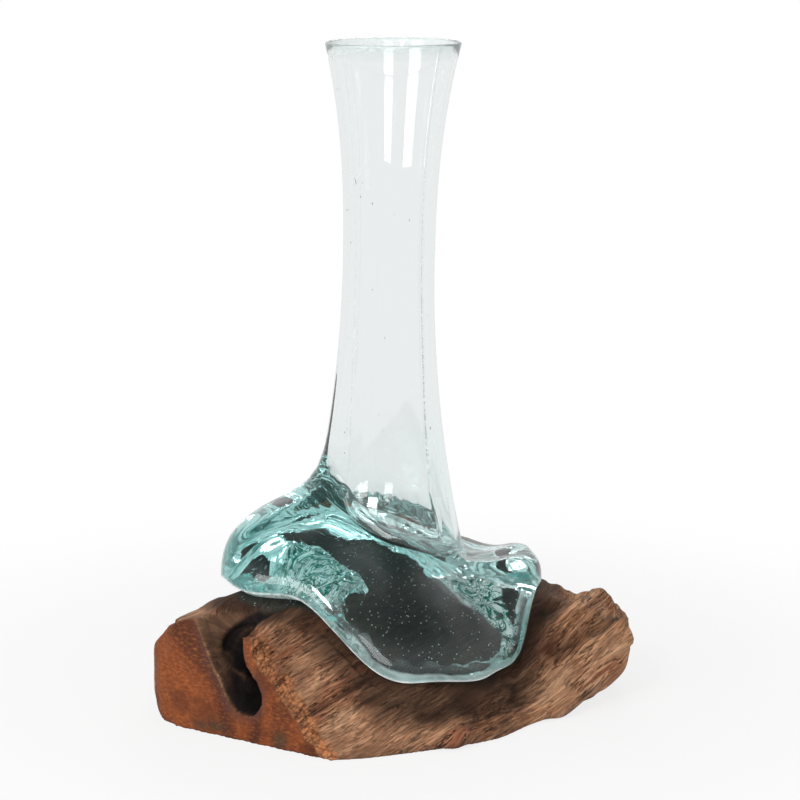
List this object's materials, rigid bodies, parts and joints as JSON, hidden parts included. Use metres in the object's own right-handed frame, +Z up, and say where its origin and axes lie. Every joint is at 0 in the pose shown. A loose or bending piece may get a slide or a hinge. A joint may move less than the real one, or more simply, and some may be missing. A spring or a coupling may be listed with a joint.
{
  "type": "vase on a root block",
  "caption": "Tall blown glass vase whose wide molten foot drapes over a rough block of teak root; it holds flowers and lifts straight up off the root.",
  "frame": {"origin": "on the flat underside of the root, straight below the axis of the vase at its foot", "axes": "+Z up along the neck, front towards -Y with the sawn end of the root at the front left, +X to the right"},
  "size_m": [0.221, 0.1855, 0.3],
  "materials": {
    "teak": "raw weathered root with one sawn end, unvarnished, charred dark under the glass",
    "recycled_glass": "glossy, almost clear in the neck, teal green and seeded with bubbles in the thick foot"
  },
  "bodies": {
    "root_block": {"teak_root": "teak"},
    "vase": {"glass_vase": "recycled_glass"}
  },
  "joints": [
    {"name": "vase_lift", "type": "slide", "parent": "root_block", "child": "vase", "axis": [0, 0, 1], "range_m": [0, 0.06]}
  ]
}
